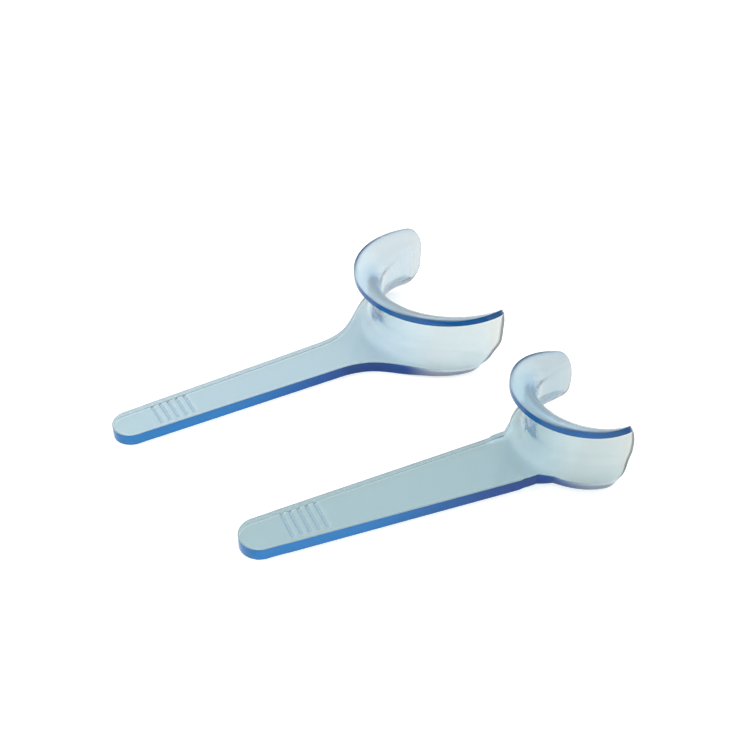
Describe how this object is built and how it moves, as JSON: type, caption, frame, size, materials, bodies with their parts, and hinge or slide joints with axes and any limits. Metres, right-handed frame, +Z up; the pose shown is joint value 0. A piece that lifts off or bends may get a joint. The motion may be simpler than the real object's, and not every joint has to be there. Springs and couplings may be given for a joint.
{
  "type": "cheek retractor pair",
  "caption": "Large and small hand-held cheek retractors in clear blue plastic, each a flat tapered handle with a grooved grip ending in a C-shaped hook with a curled lip.",
  "frame": {"origin": "middle of the pair's footprint, on the surface they lie on", "axes": "+X along the large retractor's handle toward its hook, +Y toward the large retractor's side of the pair, +Z up from the surface"},
  "size_m": [0.1213, 0.1112, 0.0239],
  "materials": {
    "large_clear_blue": "clear tinted, polished",
    "small_clear_blue": "clear tinted, polished"
  },
  "bodies": {
    "large": {"large_retractor": "large_clear_blue"},
    "small": {"small_retractor": "small_clear_blue"}
  },
  "joints": [
    {"name": "small_lift", "type": "slide", "parent": "large", "child": "small", "axis": [0, 0, 1], "range_m": [0, 0.06]}
  ]
}
